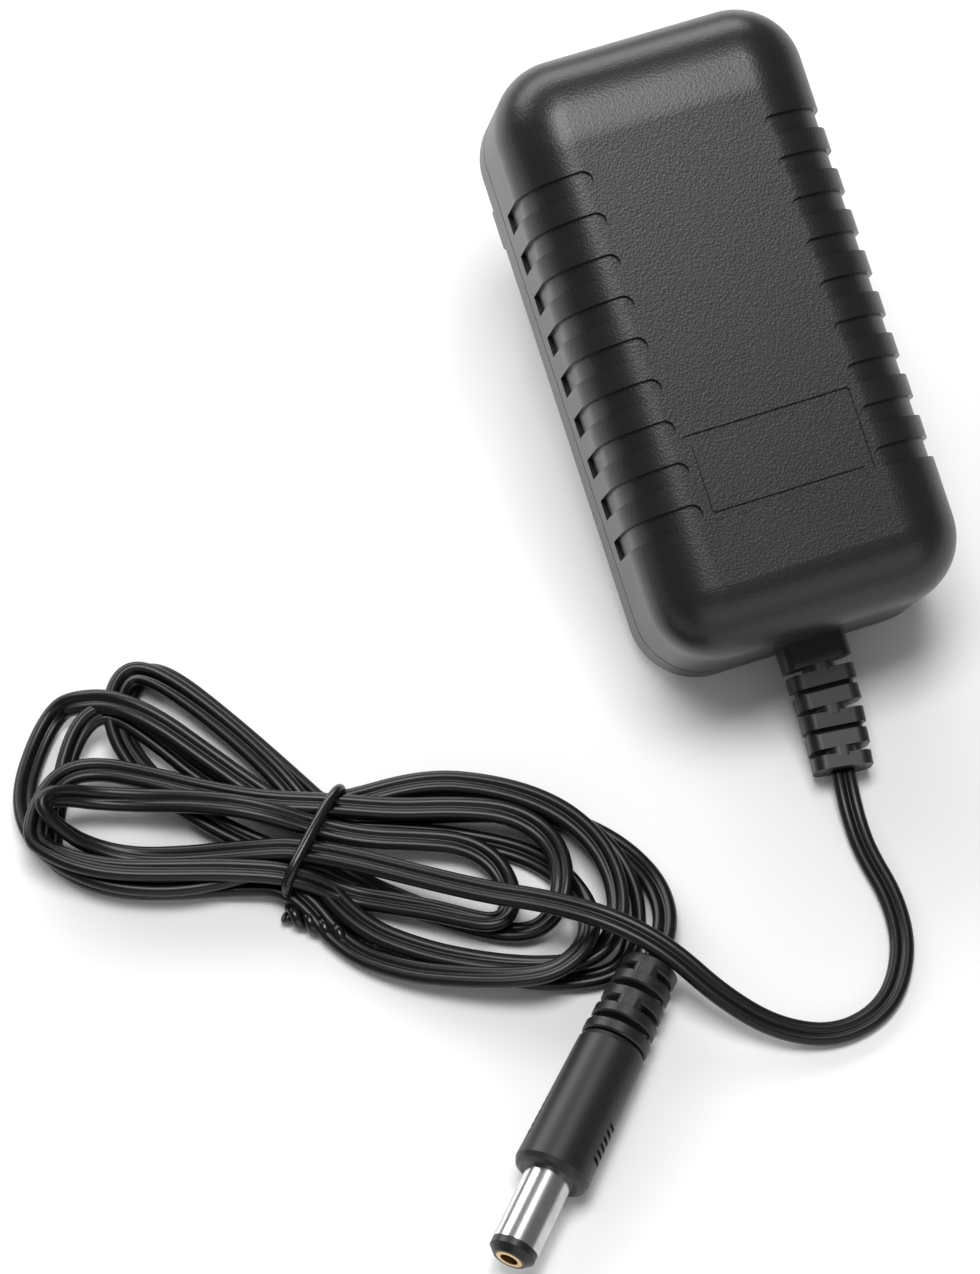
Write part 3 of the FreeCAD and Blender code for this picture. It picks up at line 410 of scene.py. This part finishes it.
def curve_object(name: str, points: list[Vector], closed: bool = False, steps: int = 8,
                 tilts: list[float] | None = None) -> bpy.types.Object:
    """Make a smooth curve that points steer.

    Args:
        name: The curve's name.
        points: Its control points, in metres.
        closed: Whether it returns to its start.
        steps: Pieces between two control points.
        tilts: Turn of the section at each point, in radians.

    Returns:
        The curve, not yet linked to the scene.
    """
    data = bpy.data.curves.new(name, "CURVE")
    data.dimensions = "3D"
    data.twist_mode = "Z_UP"
    spline = data.splines.new("NURBS")
    spline.points.add(len(points) - 1)
    for index, point in enumerate(points):
        spline.points[index].co = (*point, 1.0)
        if tilts:
            spline.points[index].tilt = tilts[index]
    spline.use_cyclic_u = closed
    spline.order_u = 3
    spline.use_endpoint_u = not closed
    spline.resolution_u = steps
    data.resolution_u = steps
    return bpy.data.objects.new(name, data)


def swept(name: str, line: bpy.types.Object) -> bpy.types.Object:
    """Turn a curve with a section into a mesh piece.

    Args:
        name: The piece's name.
        line: The curve, with its bevel set.

    Returns:
        The mesh piece, linked to the scene. The curve is removed.
    """
    bpy.context.scene.collection.objects.link(line)
    graph = bpy.context.evaluated_depsgraph_get()
    mesh = bpy.data.meshes.new_from_object(line.evaluated_get(graph))
    mesh.name = name
    bpy.data.objects.remove(line)
    shape = bmesh.new()
    shape.from_mesh(mesh)
    bmesh.ops.remove_doubles(shape, verts=shape.verts, dist=MERGE)
    bmesh.ops.recalc_face_normals(shape, faces=shape.faces)
    shape.to_mesh(mesh)
    shape.free()
    mesh.shade_smooth()
    piece = bpy.data.objects.new(name, mesh)
    bpy.context.scene.collection.objects.link(piece)
    return piece


def centre_line(points: list[Vector]) -> list[Vector]:
    """Points along the bare smooth curve that the given points steer.

    Args:
        points: Control points, in metres.

    Returns:
        The points that the curve runs through, in order.
    """
    line = curve_object("centre_line", points)
    bpy.context.scene.collection.objects.link(line)
    graph = bpy.context.evaluated_depsgraph_get()
    mesh = bpy.data.meshes.new_from_object(line.evaluated_get(graph))
    path = [vertex.co.copy() for vertex in mesh.vertices]
    bpy.data.objects.remove(line)
    bpy.data.meshes.remove(mesh)
    return path


@dataclass(frozen=True)
class Bight:
    """One loop of lead out from the tie and back to it.

    It leans at an angle in plan, in degrees, reaches out by a length, bulges by a width on its way out and by
    another on its way back, and bows to one side. A higher pinch makes it narrower at the tie. The flat lead
    rolls on edge towards its end, by an angle in degrees. Sizes are in millimetres.
    """

    lean: float
    reach: float
    first: float
    second: float
    pinch: float
    bow: float
    roll: float = 35.0

    def points(self, start: Vector, end: Vector, count: int) -> list[tuple[Vector, float]]:
        """Work out the loop's control points.

        Args:
            start: Where it leaves the tie, in plan.
            end: Where it comes back.
            count: How many steps it has.

        Returns:
            Its points in plan, with the roll of the flat lead at each, in radians.
        """
        angle = math.radians(self.lean)
        out = Vector((math.cos(angle), math.sin(angle)))
        across = Vector((-out.y, out.x))
        made = []
        for step in range(1, count):
            share = step / count
            phase = math.pi * (share - 0.5)
            far, turn = math.cos(phase), math.sin(phase)
            width = self.first if turn < 0 else self.second
            offset = self.bow * math.sin(math.pi * far * far) - 2 * width * turn * far**self.pinch
            point = start.lerp(end, share) + out * (self.reach * far) + across * offset
            made.append((point, math.radians(self.roll) * far**3))
        return made


@dataclass
class Lead:
    """The flat two-core lead, from the strain relief through its tied hank to the plug.

    The route runs from the relief to the waist and the tail from the waist to the plug. The bights between
    them reach out to the far and the near side by turns, from one crossing of the waist to the next. Each is
    drawn in that many steps, and a strand that is laid on it sees each step in that many parts. Points and
    sizes are in millimetres, the valley of the section is in degrees.
    """

    width: float = 2.8
    thickness: float = 1.45
    valley: float = 145.0
    steps: int = 13
    parts: int = 4
    route: tuple[tuple[float, float, float], ...] = (
        (-1.116, -47.210, 2.551), (-1.429, -49.105, 1.75), (-1.9, -53.0, 0.95), (-2.1, -57.2, 0.80),
        (-1.2, -64.0, 0.80), (-2.4, -70.6, 0.80), (-6.6, -76.3, 0.80), (-13.2, -77.9, 0.95),
        (-19.6, -75.3, 2.2), (-24.6, -70.4, 4.6), (-28.6, -63.8, 6.8), (-33.6, -58.4, 7.7),
        (-40.0, -53.4, 7.0), (-46.5, -49.6, 6.4))
    tail: tuple[tuple[float, float, float], ...] = (
        (-41.0, -38.0, 1.6), (-34.6, -40.9, 0.9), (-29.4, -45.6, 0.80), (-26.4, -51.6, 1.0),
        (-26.4, -57.2, 2.5), (-28.504, -61.674, 3.622), (-30.7, -64.0, 3.703))
    crossings: tuple[float, ...] = (-1.6, 1.6, -5.0, 4.8, -1.6, 2.0, -5.4, 5.4, -2.4, 2.2, -4.6, 4.8)
    bights: tuple[Bight, ...] = (
        Bight(154.5, 31.2, 2.3, 2.3, 0.95, 0.4, 70.0),
        Bight(-36.6, 24.2, 3.7, 3.4, 1.58, 2.15),
        Bight(160.0, 32.2, 0.0, 12.2, 2.14, 2.08),
        Bight(-38.6, 29.0, 7.2, 4.6, 1.32, 1.06),
        Bight(130.9, 35.5, 17.0, 0.0, 0.82, -2.32),
        Bight(-38.7, 34.2, 4.0, 8.3, 0.64, 2.93),
        Bight(161.8, 30.3, 0.0, 24.1, 2.39, 2.01, 60.0),
        Bight(-40.2, 36.2, 7.1, 6.4, 0.49, 1.39),
        Bight(117.1, 31.1, 5.1, 2.8, 0.81, 0.72, 50.0),
        Bight(-37.9, 38.8, 10.0, 4.8, 0.63, 0.49),
        Bight(114.3, 30.8, 5.1, 2.4, 1.40, 1.0, 60.0))
    control: list[Vector] = field(default_factory=list)
    rolls: list[float] = field(default_factory=list)

    def crossing(self, index: int) -> Vector:
        """Where the lead passes the tie, in plan."""
        angle = math.radians(WAIST_ANGLE)
        return Vector(WAIST) + self.crossings[index] * Vector((math.cos(angle), math.sin(angle)))

    def strands(self) -> list[list[tuple[Vector, float]]]:
        """Work out every loop of the lead in the hank.

        Returns:
            The loops in order from the relief, each as points in plan with their rolls.
        """
        made = []
        for index, bight in enumerate(self.bights):
            start, end = self.crossing(index), self.crossing(index + 1)
            made.append([(start, 0.0)] + bight.points(start, end, self.steps))
        made.append([(self.crossing(len(self.bights)), 0.0)])
        return made

    def half_height(self, roll: float) -> float:
        """Half the height of the flat section once it is rolled."""
        return self.thickness / 2 + (self.width - self.thickness) / 2 * abs(math.sin(roll))

    def lay(self) -> None:
        """Lay the hank's strands down one on the other, the plug's end first, and keep the control points."""
        strands = self.strands()
        laid: list[tuple[Vector, float, float]] = []
        for point in self.tail:
            laid.append((Vector(point[:2]), point[2], self.half_height(0.0)))
        finished: list[list[Vector]] = []
        for strand in reversed(strands):
            heights = [self.resting(point, roll, laid) for point, roll in strand]
            heights = settled(heights)
            finished.append([Vector((*point, height)) for (point, _), height in zip(strand, heights)])
            for index, point in enumerate(densified(finished[-1], self.parts)):
                roll = strand[min(index // self.parts, len(strand) - 1)][1]
                laid.append((Vector(point[:2]), point[2], self.half_height(roll)))
        finished.reverse()
        points = [Vector(point) for point in self.route]
        rolls = [0.0] * len(points)
        for strand, heights in zip(strands, finished):
            points += heights
            rolls += [roll for _, roll in strand]
        points += [Vector(point) for point in self.tail]
        rolls += [0.0] * len(self.tail)
        self.control = [point * MM for point in points]
        self.rolls = rolls

    def resting(self, point: Vector, roll: float, laid: list[tuple[Vector, float, float]]) -> float:
        """Height at which a strand's middle rests over what is laid already.

        Args:
            point: The strand's point in plan.
            roll: Its roll there, in radians.
            laid: Points of the strands beneath, with their heights and half heights.

        Returns:
            The height, in millimetres.
        """
        own = self.half_height(roll)
        height = own + CLEARANCE
        reach = self.width * SLIP
        for under, level, half in laid:
            gap = (under - point).length
            if gap < reach:
                lift = (half + own) * math.sqrt(max(0.0, 1 - (gap / reach) ** 3))
                height = max(height, level + lift)
        return height

    def section(self) -> bpy.types.Object:
        """Draw the lead's figure-of-eight section.

        Returns:
            The section, as a closed flat curve that isn't linked to the scene.
        """
        core = self.thickness / 2
        apart = (self.width - self.thickness) / 2
        corners = []
        count = 10
        for side in (1, -1):
            for step in range(-count, count + 1):
                angle = math.radians(self.valley) * step / count
                corners.append((side * (apart + core * math.cos(angle)), side * core * math.sin(angle)))
        data = bpy.data.curves.new("lead_section", "CURVE")
        data.dimensions = "2D"
        spline = data.splines.new("POLY")
        spline.points.add(len(corners) - 1)
        for point, corner in zip(spline.points, corners):
            point.co = (corner[0] * MM, corner[1] * MM, 0.0, 1.0)
        spline.use_cyclic_u = True
        return bpy.data.objects.new("lead_section", data)

    def build(self, material: bpy.types.Material, on_it: list[str | bpy.types.Object]) -> bpy.types.Object:
        """Args:
            material: Its finish.
            on_it: The pieces on the lead; not used.

        Returns:
            The lead.
        """
        self.lay()
        line = curve_object("flat_lead", self.control, tilts=self.rolls)
        section = self.section()
        line.data.bevel_mode = "OBJECT"
        line.data.bevel_object = section
        line.data.use_fill_caps = True
        piece = swept("flat_lead", line)
        bpy.data.objects.remove(section)
        dress(piece, material)
        path = centre_line(self.control)
        length = sum((b - a).length for a, b in zip(path, path[1:]))
        log.info("flat_lead: %d control points, %.3f m", len(self.control), length)
        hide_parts("cord_lead", "cord_hank", "cord_tail")
        return piece


def settled(heights: list[float]) -> list[float]:
    """Smooth heights along a strand, nearer to the higher ones so that it hardly sinks into what is beneath.

    Args:
        heights: Least height at each point.

    Returns:
        The smoothed heights.
    """
    last = len(heights) - 1
    risen = []
    for i, height in enumerate(heights):
        top = max(heights[max(0, i - 1):min(last, i + 1) + 1])
        risen.append(top * 0.5 + height * 0.5)
    return [0.5 * risen[i] + 0.25 * (risen[max(0, i - 1)] + risen[min(last, i + 1)])
            for i in range(last + 1)]


def densified(points: list[Vector], parts: int) -> list[Vector]:
    """Divide the runs between points evenly.

    Args:
        points: The points.
        parts: How many parts each run is divided into.

    Returns:
        The points with those between them.
    """
    made = []
    for start, end in zip(points, points[1:]):
        made += [start.lerp(end, step / parts) for step in range(parts)]
    return made + [points[-1]]


@dataclass
class Tie:
    """The plastic-covered wire round the hank's waist, its ends twisted together. Sizes in millimetres."""

    wire: float = 1.3
    half_span: float = 7.0
    low: float = 0.62
    high: float = 6.3
    twist_start: tuple[float, float, float] = (-67.2, -42.6, 1.25)
    twist_angle: float = -44.0
    twist_length: float = 7.6
    twist_turns: float = 2.0
    twist_radius: float = 0.62

    def ring(self) -> list[Vector]:
        """Work out the wire round the waist.

        Returns:
            Its control points, in order round a rounded rectangle.
        """
        angle = math.radians(WAIST_ANGLE)
        along = Vector((math.cos(angle), math.sin(angle), 0.0))
        middle = Vector((*WAIST, (self.low + self.high) / 2))
        points = []
        count = 14
        for step in range(count):
            turn = 2 * math.pi * step / count
            across, up = math.cos(turn), math.sin(turn)
            squared = (abs(across) ** 3 + abs(up) ** 3) ** (-1 / 3)
            points.append(middle + along * (self.half_span * across * squared)
                          + Vector((0, 0, (self.high - self.low) / 2 * up * squared)))
        return points

    def end(self, which: int) -> list[Vector]:
        """Work out one of the two twisted ends.

        Args:
            which: 0 or 1.

        Returns:
            Its control points, outwards from the ring.
        """
        angle = math.radians(self.twist_angle)
        ahead = Vector((math.cos(angle), math.sin(angle), 0.0))
        aside = Vector((-ahead.y, ahead.x, 0.0))
        points = []
        count = 20
        for step in range(count + 1):
            share = step / count
            turn = 2 * math.pi * self.twist_turns * share + math.pi * which
            offset = aside * math.cos(turn) + Vector((0, 0, math.sin(turn)))
            points.append(Vector(self.twist_start) + ahead * self.twist_length * share
                          + offset * self.twist_radius)
        return points

    def build(self, material: bpy.types.Material) -> bpy.types.Object:
        """Make the tie.

        Args:
            material: Its finish.

        Returns:
            The tie.
        """
        shape = bmesh.new()
        for points, closed in ((self.ring(), True), (self.end(0), False), (self.end(1), False)):
            line = curve_object("tie_wire", [point * MM for point in points], closed=closed, steps=6)
            line.data.bevel_depth = self.wire / 2 * MM
            line.data.bevel_resolution = 4
            line.data.use_fill_caps = True
            part = swept("tie_wire", line)
            shape.from_mesh(part.data)
            spent = part.data
            bpy.data.objects.remove(part)
            bpy.data.meshes.remove(spent)
        mesh = bpy.data.meshes.new("twist_tie_wire")
        shape.to_mesh(mesh)
        shape.free()
        mesh.shade_smooth()
        piece = bpy.data.objects.new("twist_tie_wire", mesh)
        bpy.context.scene.collection.objects.link(piece)
        dress(piece, material)
        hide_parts("twist_tie")
        log.info("twist_tie_wire: %d triangles", sum(len(face.vertices) - 2 for face in mesh.polygons))
        return piece


@dataclass(frozen=True)
class Lamp:
    """A soft rectangular lamp that faces the part. Sizes in metres, power in watts."""

    name: str
    place: tuple[float, float, float]
    size: tuple[float, float]
    power: float

    def hang(self) -> bpy.types.Object:
        """Hang the lamp.

        Returns:
            The lamp.
        """
        data = bpy.data.lights.new(self.name, "AREA")
        data.shape = "RECTANGLE"
        data.size, data.size_y = self.size
        data.energy = self.power
        made = bpy.data.objects.new(self.name, data)
        made.location = self.place
        made.rotation_euler = (-Vector(self.place)).to_track_quat("-Z", "Y").to_euler()
        bpy.context.scene.collection.objects.link(made)
        return made


@dataclass
class Studio:
    """White surface, soft light and the camera of the photograph. Sizes in metres."""

    eye: Vector = field(default_factory=lambda: Vector((-0.117923, -0.291178, 0.527261)))
    aim: Vector = field(default_factory=lambda: Vector((0.14055, 0.45842, -0.87755)))
    up: Vector = field(default_factory=lambda: Vector((0.29292, 0.82742, 0.47915)))
    lens: float = 144.1
    floor_size: float = 2.4
    sky_strength: float = 0.16
    lamps: tuple[Lamp, ...] = (
        Lamp("overhead", (-0.01, 0.05, 1.1), (0.60, 0.42), 8.4),
        Lamp("back", (-0.15, 0.95, 0.5), (1.6, 0.5), 12.0),
        Lamp("front", (0.0, -1.0, 0.45), (1.6, 0.7), 3.4))

    def camera(self) -> bpy.types.Object:
        """Stand the camera where the photograph was taken from.

        Returns:
            The camera.
        """
        data = bpy.data.cameras.new("camera")
        data.lens = self.lens
        data.sensor_width = 36.0
        data.sensor_fit = "AUTO"
        data.clip_start = 0.02
        data.clip_end = 10.0
        right = self.aim.cross(self.up).normalized()
        up = right.cross(self.aim).normalized()
        turn = Matrix((right, up, -self.aim.normalized())).transposed()
        made = bpy.data.objects.new("camera", data)
        made.matrix_world = Matrix.Translation(self.eye) @ turn.to_4x4()
        bpy.context.scene.collection.objects.link(made)
        bpy.context.scene.camera = made
        return made

    def floor(self) -> bpy.types.Object:
        """Lay the white surface.

        Returns:
            The surface.
        """
        shape = bmesh.new()
        bmesh.ops.create_grid(shape, x_segments=1, y_segments=1, size=self.floor_size / 2)
        mesh = bpy.data.meshes.new("floor")
        shape.to_mesh(mesh)
        shape.free()
        made = bpy.data.objects.new("floor", mesh)
        bpy.context.scene.collection.objects.link(made)
        shader = Shader("white_surface")
        mesh.materials.append(shader.finish(Base_Color=(0.93, 0.93, 0.93, 1.0), Roughness=0.15,
                                            Specular_IOR_Level=0.5))
        return made

    def sky(self) -> None:
        """Set the dim light from all round."""
        world = bpy.data.worlds.new("studio")
        world.use_nodes = True
        background = world.node_tree.nodes["Background"]
        background.inputs["Color"].default_value = (1.0, 1.0, 1.0, 1.0)
        background.inputs["Strength"].default_value = self.sky_strength
        bpy.context.scene.world = world

    def build(self) -> None:
        """Set the whole studio up."""
        self.camera()
        self.floor()
        self.sky()
        for lamp in self.lamps:
            lamp.hang()
        bpy.context.scene.view_settings.view_transform = "Standard"


def dress_solids(frame: dict, materials: dict[str, bpy.types.Material]) -> None:
    """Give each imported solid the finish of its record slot.

    Args:
        materials: The finishes, by slot.
    """
    for part in frame["record"]["subparts"]:
        solid = frame["nodes"][part["node"]]
        solid.data.materials.clear()
        solid.data.materials.append(materials[part["material_slot"]])
        log.info("%s: %s", part["node"], part["material_slot"])


def main() -> None:
    """Build the scene."""
    logging.basicConfig(level=logging.INFO, format="%(name)s: %(message)s")
    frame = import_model()
    materials = {slot: finish.build() for slot, finish in FINISHES.items()}
    dress_solids(frame, materials)
    tie = Tie().build(materials["tie_plastic"])
    on_lead = [tie, "cord_relief", "plug_grip", "plug_barrel", "plug_insulator", "plug_centre_contact"]
    Lead().build(materials["cord_cover"], on_lead)
    Studio().build()


if __name__ == "__main__":
    main()
